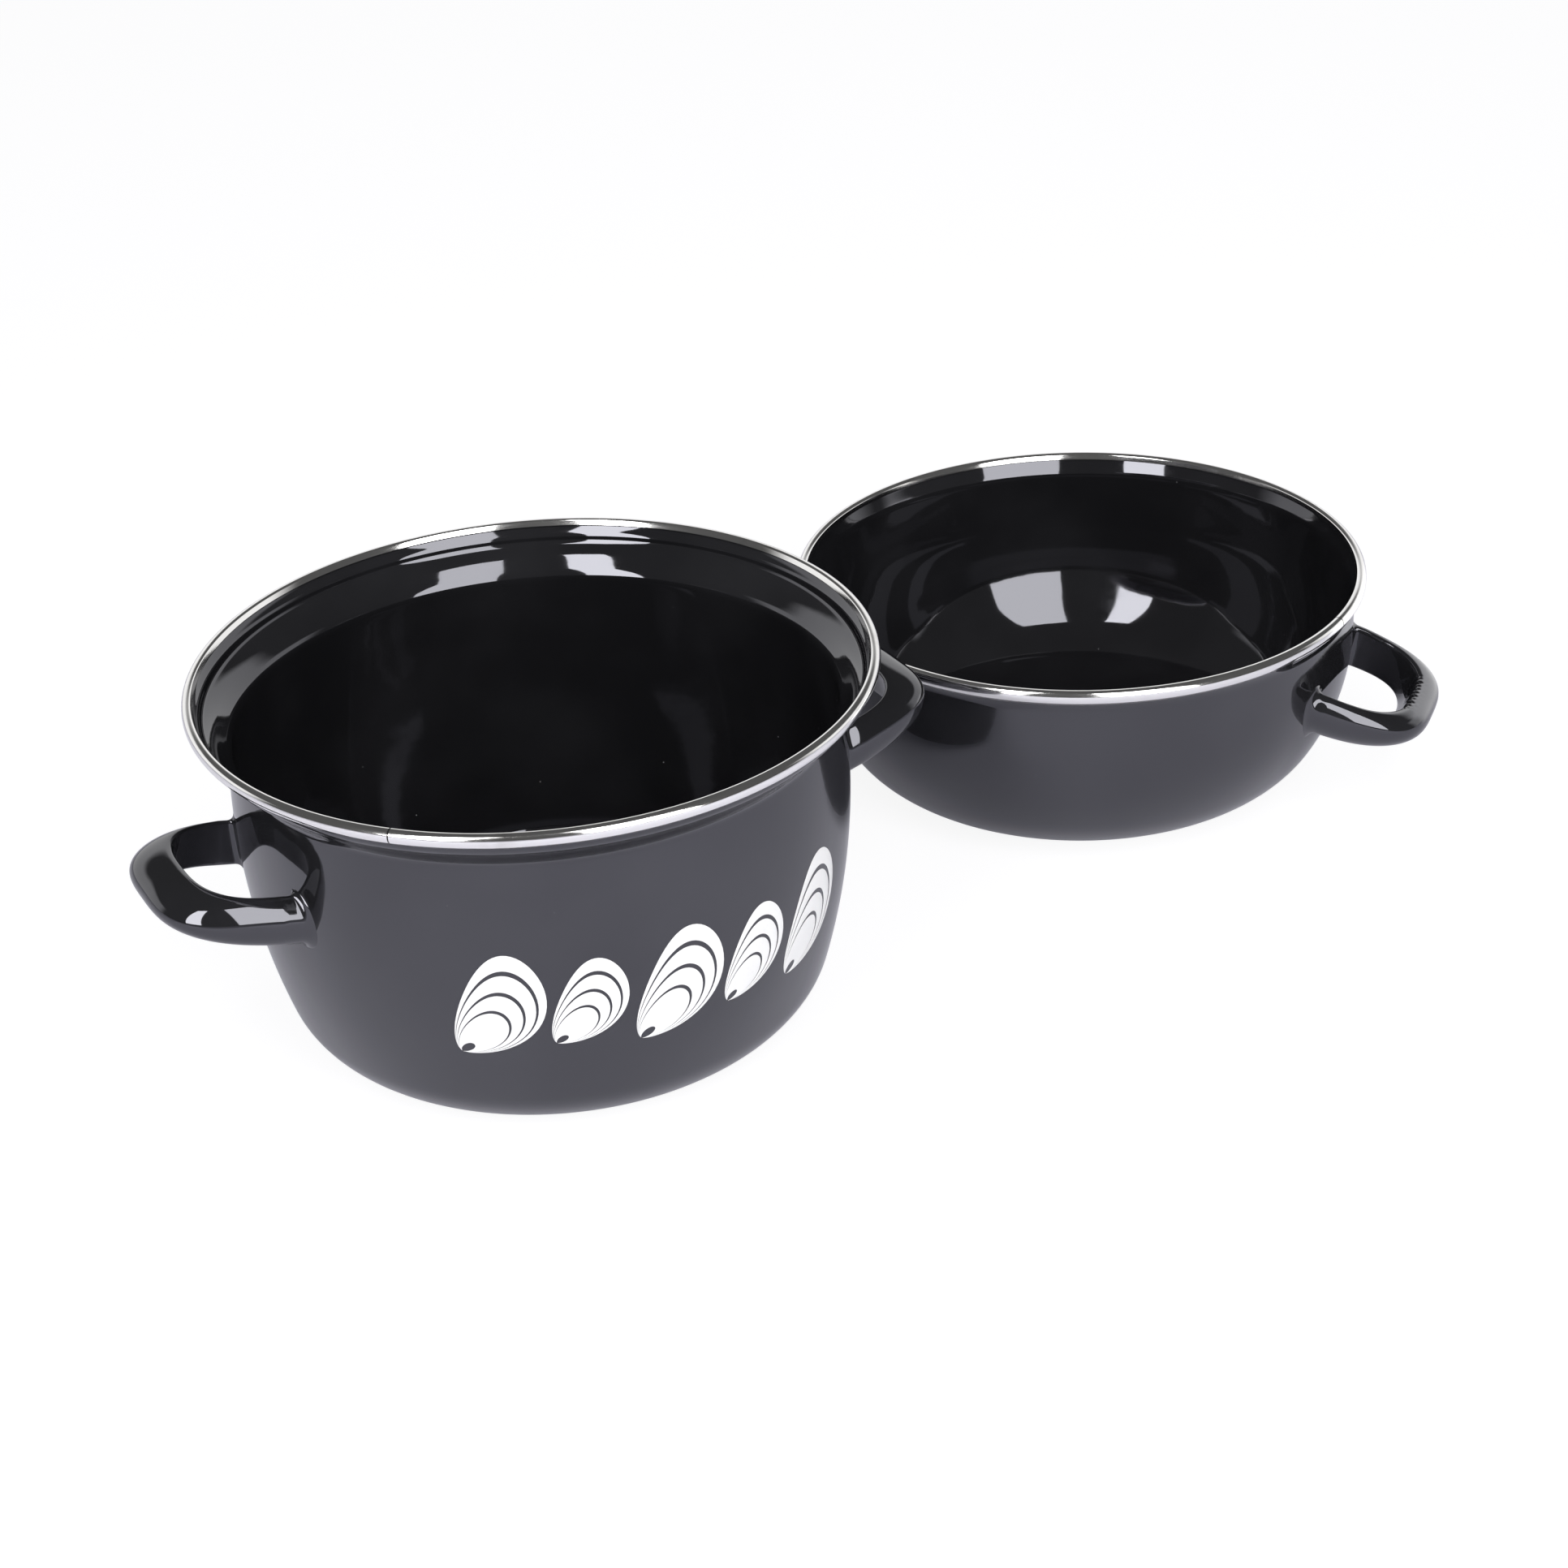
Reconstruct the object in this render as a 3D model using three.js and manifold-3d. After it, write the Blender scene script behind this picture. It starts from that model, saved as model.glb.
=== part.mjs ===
import * as THREE from 'three';
import { mergeVertices } from 'three/addons/utils/BufferGeometryUtils.js';
import Module from 'manifold-3d';

// A mussel pot with two loop handles, and its deep lid standing base-down beside it.
// Millimetres and degrees. +Z is up, the origin is the centre of the pot's base, and +X runs
// out through the middle of the pot's right-hand handle.

// Sizes that all the pieces share
const roundSides = 48; // facets round a revolved piece
const sheetThickness = 1.2; // enamelled steel of the pot and the lid
const fitGap = 0.3; // clearance between pieces that touch

// Pot: the wall bulges slightly, draws in to a waist, and flares to the lid's seat and a neck.
// Leans and flares are measured from the vertical.
const potHeight = 109.5; // base to the crown of the rim band
const potBellyDiameter = 180.1; // outside, at the widest part of the wall
const potBellyHeight = 71; // height of the widest part
const potBellyArc = 205; // outside radius of the bulge, seen from the side
const potCornerArc = 19.5; // outside radius between the wall and the base
const potWaistArc = 4;
const potFlareAngle = 42;
const potShoulderArc = 16;
const potSeatAngle = 56;
const potCoveArc = 3;
const potNeckStep = 6.6; // the neck stands this far outside the belly
const potNeckHeight = 5.5; // the neck's foot is this far below the band's crown
const potNeckArc = 2; // bend from the upright neck into its lip
const potLipAngle = 42;
const potRimAngle = 20; // lean of the sheet where it ends inside the band

// Lid: a bowl whose band drops inside the pot's neck and rests on the seat
const lidHeight = 69.5; // base to the crown of the rim band
const lidPlay = 2.35; // between the lid's band and the pot's neck, all round
const lidLipStep = 2.25; // the rim stands this far outside the wall
const lidWallHeight = 48.5; // height from which the wall stands upright
const lidWallArc = 68; // outside radius of the wall below that, seen from the side
const lidCornerArc = 29.5; // outside radius between the wall and the base
const lidLipRootArc = 8;
const lidLipAngle = 21;
const lidLipArc = 10;
const lidRimAngle = 8;

// Rim bands: a steel channel folded over the sheet's edge, closed by a butt seam
const bandThickness = 0.5;
const bandOuterLeg = 4; // below the sheet's edge
const bandInnerLeg = 1.8; // below the sheet's edge
const bandSeamWidth = 0.4;
const potSeamBearing = -137; // round from the right-hand handle
const lidSeamBearing = -10.2;

// Loop handles, flat inside and rounded outside, with feet that spread where they meet the wall.
// Each ends in half a superellipse: a power of 2 is an ellipse, and more is squarer.
const handleWidth = 60; // across the outside of the two legs
const handleEndWidth = 53; // the loop narrows towards its end
const handleReach = 34.8; // out from the datum, which lies just inside the wall
const handleLeg = 3.4; // straight leg outside the datum, before the loop's end
const handlePower = 3.26;
const gripDepth = 11.2; // thickness of the loop's end
const gripGapLeg = 4.5;
const gripGapPower = 2.8;
const legThickness = 5.5;
const legHeight = 14.7;
const gripHeight = 12.8;
const crownDrop = 1.4; // the outside is fullest this far below the middle plane
const footSpread = 1.8; // growth of a foot on each side
const footFillet = 7; // length over which a foot spreads
const legRoot = 14; // rough length inside the datum, trimmed to the wall
const potHandleHeight = 65.8; // where the loop's middle plane meets the datum
const potHandleInset = 1.3; // from the wall in to the datum
const potHandleTilt = 14; // the loops rise outwards
const lidHandleHeight = 39.5;
const lidHandleInset = 4.4;
const lidHandleTilt = 16.2; // with the lid turned over on the pot

// Where the lid stands
const lidBearing = 9.5; // direction from the pot to the lid
const lidStandOff = 0.5; // clear space between the pot's handle and the lid's band
const lidTurn = -51.1; // direction of the lid's right-hand handle

const wasm = await Module();
wasm.setup();

const halfSheet = sheetThickness / 2;
const bandHalfWidth = halfSheet + fitGap + bandThickness;
const bandCrown = fitGap + bandThickness; // the band stands this far above the sheet's edge
const radians = THREE.MathUtils.degToRad;
const point = (radius, height) => new THREE.Vector2(radius, height);

// Solids and cuts

function solidOf(geometry) {
  const bare = geometry.clone();
  bare.deleteAttribute('normal');
  bare.deleteAttribute('uv');
  const merged = mergeVertices(bare, 1e-4);
  const corners = merged.index.array;
  const faces = [];
  for (let i = 0; i < corners.length; i += 3) {
    const [a, b, c] = corners.slice(i, i + 3);
    if (a !== b && b !== c && c !== a) faces.push(a, b, c);
  }
  return new wasm.Manifold(new wasm.Mesh({
    numProp: 3,
    vertProperties: new Float32Array(merged.attributes.position.array),
    triVerts: new Uint32Array(faces),
  }));
}

function geometryOf(solid) {
  const mesh = solid.getMesh();
  const geometry = new THREE.BufferGeometry();
  geometry.setAttribute('position', new THREE.BufferAttribute(new Float32Array(mesh.vertProperties), 3));
  geometry.setIndex(new THREE.BufferAttribute(new Uint32Array(mesh.triVerts), 1));
  geometry.computeVertexNormals();
  return geometry;
}

// A profile of radius and height, turned about the Z axis
function revolve(profile) {
  return solidOf(new THREE.LatheGeometry(profile, roundSides).rotateX(Math.PI / 2));
}

// Profiles of the drawn sheet, along the middle of its thickness

// An arc that leaves start leaning `from` radians outwards of the vertical, and ends leaning `to`
function bend(start, radius, from, to, steps) {
  const side = Math.sign(to - from) * radius;
  const towardsCentre = (lean) => point(side * Math.cos(lean), -side * Math.sin(lean));
  const centre = start.clone().add(towardsCentre(from));
  return Array.from({ length: steps }, (_, i) => {
    const lean = THREE.MathUtils.lerp(from, to, (i + 1) / steps);
    return centre.clone().sub(towardsCentre(lean));
  });
}

// Several bends in a row, each given as radius, last lean and steps
function bends(start, lean, ...runs) {
  const points = [start];
  for (const [radius, to, steps] of runs) {
    points.push(...bend(points.at(-1), radius, lean, to, steps));
    lean = to;
  }
  return points;
}

function shifted(points, from, to) {
  const move = to.clone().sub(from);
  return points.map((p) => p.clone().add(move));
}

// A bulged wall that draws in to a waist: the waist's arc touches the wall's arc on one side and the
// straight flare on the other
function bulgedWall(foot, knee, { wallRadius, wallHeight, wallArc, waistArc, flare }, flareEnd) {
  const wallCentre = point(wallRadius - wallArc, wallHeight);
  const alongFlare = point(Math.sin(flare), Math.cos(flare));
  const besideFlare = point(Math.cos(flare), -Math.sin(flare)).multiplyScalar(waistArc);
  const fromWall = flareEnd.clone().add(besideFlare).sub(wallCentre);
  const waistRun = wallArc - halfSheet + waistArc;
  const middle = fromWall.dot(alongFlare);
  const back = middle - Math.sqrt(middle ** 2 - fromWall.lengthSq() + waistRun ** 2);
  const waistLean = -Math.asin((fromWall.y - back * alongFlare.y) / waistRun);
  return bends(foot, knee, [wallArc - halfSheet, waistLean, 5], [waistArc, flare, 3]);
}

// A wall that curves up to the vertical and runs straight up to the bend into its flare
function uprightWall(foot, knee, { wallArc, waistArc, flare }, flareEnd) {
  const wall = bends(foot, knee, [wallArc - halfSheet, 0, 5]);
  const waist = bends(point(0, 0), 0, [waistArc, flare, 3]);
  const flareRise = (flareEnd.x - wall.at(-1).x - waist.at(-1).x) / Math.tan(flare);
  const waistEnd = point(wall.at(-1).x + waist.at(-1).x, flareEnd.y - flareRise);
  return [...wall, ...shifted(waist, waist.at(-1), waistEnd)];
}

// Base, corner and wall, up to the straight flare that ends at the first point of the top
function drawnSheet(wall, top) {
  const { wallRadius, wallHeight, wallArc, cornerArc, rise } = wall;
  const cornerRun = wallArc - cornerArc;
  const knee = Math.asin((wallHeight - cornerArc) / cornerRun);
  const floorEdge = point(wallRadius - wallArc + cornerRun * Math.cos(knee), halfSheet);
  const corner = bends(floorEdge, Math.PI / 2, [cornerArc - halfSheet, knee, 6]);
  return [point(0, halfSheet), ...corner, ...rise(corner.at(-1), knee, wall, top[0]).slice(1), ...top];
}

// The same line moved sideways: outwards of the wall and below the base for a positive distance
function offset(points, distance) {
  const sides = points.slice(1).map((p, i) => {
    const run = p.clone().sub(points[i]).normalize();
    return point(run.y, -run.x);
  });
  return points.map((p, i) => {
    const before = sides[Math.max(i - 1, 0)];
    const after = sides[Math.min(i, sides.length - 1)];
    const sum = before.clone().add(after);
    return p.clone().addScaledVector(sum, 2 * distance / sum.lengthSq());
  });
}

function sheetSolid(midline) {
  return revolve([...offset(midline, halfSheet), ...offset(midline, -halfSheet).reverse()]);
}

// What a neighbour on the outside of the wall has to stay clear of
function wallEnvelope(midline) {
  const skin = offset(midline, halfSheet + fitGap);
  return revolve([...skin, point(0, skin.at(-1).y)]);
}

// Rim bands

// A place `below` along the sheet from its edge and `out` from the middle of its thickness
function besideEdge(midline, below, out) {
  let last = midline.length - 1;
  let left = below;
  while (left > midline[last].distanceTo(midline[last - 1])) {
    left -= midline[last].distanceTo(midline[last - 1]);
    last -= 1;
  }
  const run = midline[last].clone().sub(midline[last - 1]).normalize();
  return midline[last].clone().addScaledVector(run, -left).add(point(run.y, -run.x).multiplyScalar(out));
}

function bandSolid(midline, seamBearing) {
  const channel = halfSheet + fitGap;
  const crownSteps = 6;
  const crown = Array.from({ length: crownSteps + 1 }, (_, i) => {
    const turn = Math.PI * i / crownSteps;
    return [-bandCrown * Math.sin(turn), bandHalfWidth * Math.cos(turn)];
  });
  const section = [
    [bandOuterLeg, bandHalfWidth],
    [bandOuterLeg / 2, bandHalfWidth],
    ...crown,
    [bandInnerLeg, -bandHalfWidth],
    [bandInnerLeg, -channel],
    [-fitGap, -channel],
    [-fitGap, channel],
    [bandOuterLeg / 2, channel],
    [bandOuterLeg, channel],
  ];
  const profile = section.map(([below, out]) => besideEdge(midline, below, out));
  const ring = revolve([...profile, profile[0]]);

  const rim = midline.at(-1);
  const slitDepth = 4 * (bandOuterLeg + bandHalfWidth); // well past the band on all sides
  const slit = new THREE.BoxGeometry(slitDepth, bandSeamWidth, slitDepth)
    .translate(rim.x, 0, rim.y)
    .rotateZ(radians(seamBearing));
  return ring.subtract(solidOf(slit));
}

// Loop handles

// One half of a U, from the foot of a leg to the middle of the loop's end
function halfLoop(width, reach, leg, power) {
  const filletSteps = 4;
  const endSteps = 8;
  const side = width / 2;
  const points = [point(-legRoot, side)];
  for (let i = 0; i <= filletSteps; i += 1) {
    points.push(point(handleLeg - footFillet * (1 - i / filletSteps), side));
  }
  for (let i = 1; i <= endSteps; i += 1) {
    const turn = (Math.PI / 2) * i / endSteps;
    const across = i < endSteps ? Math.cos(turn) ** (2 / power) : 0;
    points.push(point(leg + (reach - leg) * Math.sin(turn) ** (2 / power), side * across));
  }
  return points;
}

// The loop lying flat: x out from the wall, y across, z up
function loopGeometry() {
  const sectionSteps = 8;
  const narrowing = (x) => 1 - (1 - handleEndWidth / handleWidth) * Math.max(x, 0) / handleReach;
  const spread = (x) => footSpread * THREE.MathUtils.clamp((handleLeg - x) / footFillet, 0, 1) ** 2;
  const outline = halfLoop(handleWidth, handleReach, handleLeg, handlePower)
    .map((p) => point(p.x, p.y * narrowing(p.x) + spread(p.x)));
  const gap = halfLoop(handleWidth - 2 * legThickness, handleReach - gripDepth, gripGapLeg, gripGapPower)
    .map((p) => point(p.x, p.y * narrowing(p.x) - spread(p.x)));

  const half = outline.map((outer, i) => {
    const along = THREE.MathUtils.clamp(outer.x / handleReach, 0, 1);
    const height = THREE.MathUtils.lerp(legHeight, gripHeight, along) + 2 * spread(outer.x);
    return Array.from({ length: sectionSteps + 1 }, (_, j) => {
      const turn = Math.PI * (j / sectionSteps - 0.5);
      const swell = Math.max(Math.cos(turn), 0);
      const place = gap[i].clone().lerp(outer, swell);
      return new THREE.Vector3(place.x, place.y, height / 2 * Math.sin(turn) - crownDrop * swell);
    });
  });
  const mirrored = half.slice(0, -1).reverse().map((ring) => ring.map((p) => p.clone().setY(-p.y)));
  const rings = [...half, ...mirrored];

  const size = sectionSteps + 1;
  const faces = [];
  for (let i = 0; i + 1 < rings.length; i += 1) {
    for (let j = 0; j < size; j += 1) {
      const a = i * size + j;
      const b = i * size + (j + 1) % size;
      faces.push(a, b, a + size, b, b + size, a + size);
    }
  }
  const lastRing = (rings.length - 1) * size;
  for (let j = 1; j + 1 < size; j += 1) {
    faces.push(0, j + 1, j);
    faces.push(lastRing, lastRing + j, lastRing + j + 1);
  }
  const geometry = new THREE.BufferGeometry().setFromPoints(rings.flat());
  geometry.setIndex(faces);
  return geometry;
}

// A loop turned to its bearing on the wall, with its feet trimmed to the wall's curve
function handleSolid(envelope, datum, { height, tilt, roll }, bearing) {
  const loop = loopGeometry()
    .rotateY(-radians(tilt))
    .rotateX(radians(roll))
    .translate(datum, 0, height)
    .rotateZ(radians(bearing));
  return solidOf(loop).subtract(envelope);
}

// Outside radius of a wall at a height on its arc, or on the upright above it
function wallRadiusAt({ wallRadius, wallHeight, wallArc, rise }, height) {
  const above = height - wallHeight;
  if (rise === uprightWall && above > 0) return wallRadius;
  return wallRadius - wallArc + Math.sqrt(wallArc ** 2 - above ** 2);
}

// Finishes

const enamel = { color: 0x101114, roughness: 0.12, metalness: 0 };
const steel = { color: 0xc8c7ca, roughness: 0.25, metalness: 1 };

function piece(name, solid, finish) {
  const mesh = new THREE.Mesh(geometryOf(solid), new THREE.MeshStandardMaterial(finish));
  mesh.name = name;
  return mesh;
}

// A vessel with its band and its two handles, in its own frame
function vessel(prefix, bodyName, wall, midline, seamBearing, loopSeat) {
  const envelope = wallEnvelope(midline);
  const datum = wallRadiusAt(wall, loopSeat.height) - loopSeat.inset;
  const group = new THREE.Group();
  group.add(piece(`${prefix}_${bodyName}`, sheetSolid(midline), enamel));
  group.add(piece(`${prefix}_rim_band`, bandSolid(midline, seamBearing), steel));
  for (const [side, bearing] of [['right', 0], ['left', 180]]) {
    const solid = handleSolid(envelope, datum, loopSeat, bearing);
    group.add(piece(`${prefix}_handle_${side}`, solid, enamel));
  }
  return group;
}

// Pot

const potWall = {
  wallRadius: potBellyDiameter / 2,
  wallHeight: potBellyHeight,
  wallArc: potBellyArc,
  cornerArc: potCornerArc,
  rise: bulgedWall,
  waistArc: potWaistArc,
  flare: radians(potFlareAngle),
};
const neckFoot = point(potWall.wallRadius - halfSheet + potNeckStep, potHeight - potNeckHeight);
const shoulder = bends(
  point(0, 0),
  potWall.flare,
  [potShoulderArc, radians(potSeatAngle), 2],
  [potCoveArc, 0, 3],
);
const seat = shifted(shoulder, shoulder.at(-1), neckFoot);
const lipFoot = bend(neckFoot, potNeckArc, 0, radians(potLipAngle), 2);
const lipRise = potHeight - bandCrown - lipFoot.at(-1).y;
const lipArc = lipRise / (Math.sin(radians(potLipAngle)) - Math.sin(radians(potRimAngle)));
const lip = bend(lipFoot.at(-1), lipArc, radians(potLipAngle), radians(potRimAngle), 4);
const potMidline = drawnSheet(potWall, [...seat, ...lipFoot, ...lip]);
const potLoopSeat = { height: potHandleHeight, inset: potHandleInset, tilt: potHandleTilt, roll: 0 };
const potGroup = vessel('pot', 'body', potWall, potMidline, potSeamBearing, potLoopSeat);

// Lid

const lidBandRadius = neckFoot.x - halfSheet - lidPlay;
const lidRim = point(lidBandRadius - bandHalfWidth, lidHeight - bandCrown);
const lidWall = {
  wallRadius: lidRim.x - lidLipStep + halfSheet,
  wallHeight: lidWallHeight,
  wallArc: lidWallArc,
  cornerArc: lidCornerArc,
  rise: uprightWall,
  waistArc: lidLipRootArc,
  flare: radians(lidLipAngle),
};
const lidLip = bends(point(0, 0), lidWall.flare, [lidLipArc, radians(lidRimAngle), 3]);
const lidMidline = drawnSheet(lidWall, shifted(lidLip, lidLip.at(-1), lidRim));
const lidLoopSeat = { height: lidHandleHeight, inset: lidHandleInset, tilt: lidHandleTilt, roll: 180 };
const lidGroup = vessel('lid', 'bowl', lidWall, lidMidline, lidSeamBearing, lidLoopSeat);

// The lid stands as near to the pot as its band can come to the pot's right-hand handle
function standingDistance() {
  const away = point(Math.cos(radians(lidBearing)), Math.sin(radians(lidBearing)));
  const clear = lidBandRadius + lidStandOff;
  const distances = [potMidline.at(-1).x + bandHalfWidth + clear];
  const handle = potGroup.getObjectByName('pot_handle_right').geometry.attributes.position;
  for (let i = 0; i < handle.count; i += 1) {
    const place = point(handle.getX(i), handle.getY(i));
    const aside = Math.abs(place.cross(away));
    if (aside < clear) distances.push(place.dot(away) + Math.sqrt(clear ** 2 - aside ** 2));
  }
  return away.multiplyScalar(Math.max(...distances));
}

const lidPlace = standingDistance();
lidGroup.position.set(lidPlace.x, lidPlace.y, 0);
lidGroup.rotation.z = radians(lidTurn);

const musselPot = new THREE.Group();
musselPot.add(potGroup, lidGroup);

export default musselPot;
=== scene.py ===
import math

import bpy
from mathutils import Matrix, Vector


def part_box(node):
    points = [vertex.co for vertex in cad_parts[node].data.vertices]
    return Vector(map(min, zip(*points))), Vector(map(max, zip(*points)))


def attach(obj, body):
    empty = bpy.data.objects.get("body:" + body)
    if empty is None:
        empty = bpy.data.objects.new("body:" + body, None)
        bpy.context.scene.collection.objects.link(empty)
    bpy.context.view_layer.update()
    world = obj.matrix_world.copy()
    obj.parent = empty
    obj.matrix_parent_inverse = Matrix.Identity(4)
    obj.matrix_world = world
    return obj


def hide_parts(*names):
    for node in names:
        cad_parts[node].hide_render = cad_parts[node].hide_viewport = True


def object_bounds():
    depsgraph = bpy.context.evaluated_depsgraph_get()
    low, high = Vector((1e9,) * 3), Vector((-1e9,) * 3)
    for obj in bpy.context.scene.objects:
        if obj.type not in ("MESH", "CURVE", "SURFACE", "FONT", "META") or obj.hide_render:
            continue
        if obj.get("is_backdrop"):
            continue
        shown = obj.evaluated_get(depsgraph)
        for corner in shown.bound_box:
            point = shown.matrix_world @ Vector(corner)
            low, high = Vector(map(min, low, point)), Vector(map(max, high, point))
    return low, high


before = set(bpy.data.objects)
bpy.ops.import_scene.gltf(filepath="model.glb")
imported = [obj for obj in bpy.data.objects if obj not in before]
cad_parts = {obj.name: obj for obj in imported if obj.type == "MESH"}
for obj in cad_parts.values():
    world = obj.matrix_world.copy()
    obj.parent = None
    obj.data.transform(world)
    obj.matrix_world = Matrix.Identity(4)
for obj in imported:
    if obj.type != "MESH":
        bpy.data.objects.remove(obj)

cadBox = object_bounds()
mm = 0.001
print("frame loaded:", len(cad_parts), "solids")


# drawn sheet, shared by the pot and the lid; lengths in mm, leans in degrees outwards of the vertical
sheet = {
    "thickness": 1.2,
    "fitGap": 0.3,
    "segments": 288,
    "baseRings": (0, 0.35, 0.7),  # shares of the flat base's radius
}
halfSheet = sheet["thickness"] / 2

# steps along each run of the section
runSteps = {"corner": 16, "bulge": 30, "upright": 24, "straight": 5, "waist": 12, "flare": 3,
            "shoulder": 6, "cove": 10, "neck": 8, "lip": 10}


def bend(start, radius, fromLean, toLean, steps):
    # an arc as (radius, height, lean), without its first point
    side = math.copysign(radius, toLean - fromLean)
    towards = lambda lean: (side * math.cos(math.radians(lean)), -side * math.sin(math.radians(lean)))
    dr, dz = towards(fromLean)
    centre = (start[0] + dr, start[1] + dz)
    points = []
    for i in range(1, steps + 1):
        lean = fromLean + (toLean - fromLean) * i / steps
        dr, dz = towards(lean)
        points.append((centre[0] - dr, centre[1] - dz, lean))
    return points


def bends(start, lean, *runs):
    points = [(start[0], start[1], lean)]
    for radius, toLean, steps in runs:
        points += bend(points[-1], radius, points[-1][2], toLean, steps)
    return points


def movedTo(points, last):
    dr, dz = last[0] - points[-1][0], last[1] - points[-1][1]
    return [(r + dr, z + dz, lean) for r, z, lean in points]


def between(a, b, steps):
    # points inside a straight run
    return [tuple(a[k] + (b[k] - a[k]) * i / steps for k in range(3)) for i in range(1, steps)]


def bulgedWall(foot, wall, flareEnd):
    # up to a waist, whose arc touches the wall's arc on one side and the straight flare on the other
    flare = math.radians(wall["flare"])
    along = Vector((math.sin(flare), math.cos(flare)))
    beside = Vector((math.cos(flare), -math.sin(flare))) * wall["waist"]
    centre = Vector((wall["radius"] - wall["arc"], wall["height"]))
    fromWall = Vector(flareEnd[:2]) + beside - centre
    run = wall["arc"] - halfSheet + wall["waist"]
    middle = fromWall.dot(along)
    back = middle - math.sqrt(middle ** 2 - fromWall.length_squared + run ** 2)
    waistLean = -math.degrees(math.asin((fromWall.y - back * along.y) / run))
    return bends(foot[:2], foot[2],
                 (wall["arc"] - halfSheet, waistLean, runSteps["bulge"]),
                 (wall["waist"], wall["flare"], runSteps["waist"]))


def uprightWall(foot, wall, flareEnd):
    # up to the vertical, then straight to the bend into the flare
    line = bends(foot[:2], foot[2], (wall["arc"] - halfSheet, 0, runSteps["upright"]))
    waist = bends((0, 0), 0, (wall["waist"], wall["flare"], runSteps["waist"]))
    radius = line[-1][0] + waist[-1][0]
    rise = (flareEnd[0] - radius) / math.tan(math.radians(wall["flare"]))
    waist = movedTo(waist, (radius, flareEnd[1] - rise))
    return line + between(line[-1], waist[0], runSteps["straight"]) + waist


def drawnLine(wall, rise, top):
    # middle of the sheet from the centre of the base to the rim: base, corner, wall, flare, top
    reach = wall["arc"] - wall["corner"]
    knee = math.degrees(math.asin((wall["height"] - wall["corner"]) / reach))
    floorRadius = wall["radius"] - wall["arc"] + reach * math.cos(math.radians(knee))
    line = [(floorRadius * share, halfSheet, 90) for share in sheet["baseRings"]]
    line += bends((floorRadius, halfSheet), 90, (wall["corner"] - halfSheet, knee, runSteps["corner"]))
    line += rise(line[-1], wall, top[0])[1:]
    return line + between(line[-1], top[0], runSteps["flare"]) + top


def aside(line, distance):
    # the same line moved outwards of the wall, and below the base
    return [(r + distance * math.cos(math.radians(lean)), z - distance * math.sin(math.radians(lean)))
            for r, z, lean in line]


def wallRadius(wall, height):
    # outside, on the wall's arc
    return wall["radius"] - wall["arc"] + math.sqrt(wall["arc"] ** 2 - (height - wall["height"]) ** 2)


def clamp(share):
    return min(max(share, 0), 1)


# making pieces
onAxis = 1e-6  # a point nearer than this to the axis closes the surface
creaseAngle = 40


def revolve(profile, segments):
    # a profile that starts and ends on the axis, turned into one closed surface
    verts, faces, rings = [], [], []
    for r, z in profile:
        if r < onAxis:
            rings.append([len(verts)] * segments)
            verts.append((0, 0, z))
        else:
            rings.append(list(range(len(verts), len(verts) + segments)))
            verts += [(r * math.cos(t), r * math.sin(t), z)
                      for t in (2 * math.pi * k / segments for k in range(segments))]
    for low, high in zip(rings, rings[1:]):
        for k in range(segments):
            n = (k + 1) % segments
            faces.append(list(dict.fromkeys((low[k], low[n], high[n], high[k]))))  # three at the axis
    return verts, faces


def loft(rings):
    # closed sections joined in order, with a cap at each end
    size = len(rings[0])
    verts = [p for ring in rings for p in ring]
    faces = []
    for a in range(0, len(verts) - size, size):
        for j in range(size):
            n = (j + 1) % size
            faces.append((a + j, a + n, a + size + n, a + size + j))
    faces.append(tuple(range(size))[::-1])
    faces.append(tuple(range(len(verts) - size, len(verts))))
    return verts, faces


def addToScene(name, data):
    made = bpy.data.objects.new(name, data)
    bpy.context.scene.collection.objects.link(made)
    return made


def makePiece(name, shape, place, body, material, node=None, sharp=None):
    verts, faces = shape
    mesh = bpy.data.meshes.new(name)
    mesh.from_pydata([Vector(v) * mm for v in verts], [], faces)
    mesh.validate()
    mesh.shade_smooth()
    if sharp:
        mesh.set_sharp_from_angle(angle=math.radians(sharp))
    mesh.materials.append(material)
    piece = addToScene(name, mesh)
    piece.matrix_world = place
    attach(piece, body)
    if node:
        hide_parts(node)


# materials
black = (0, 0, 0, 1)
white = (1, 1, 1, 1)


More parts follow.
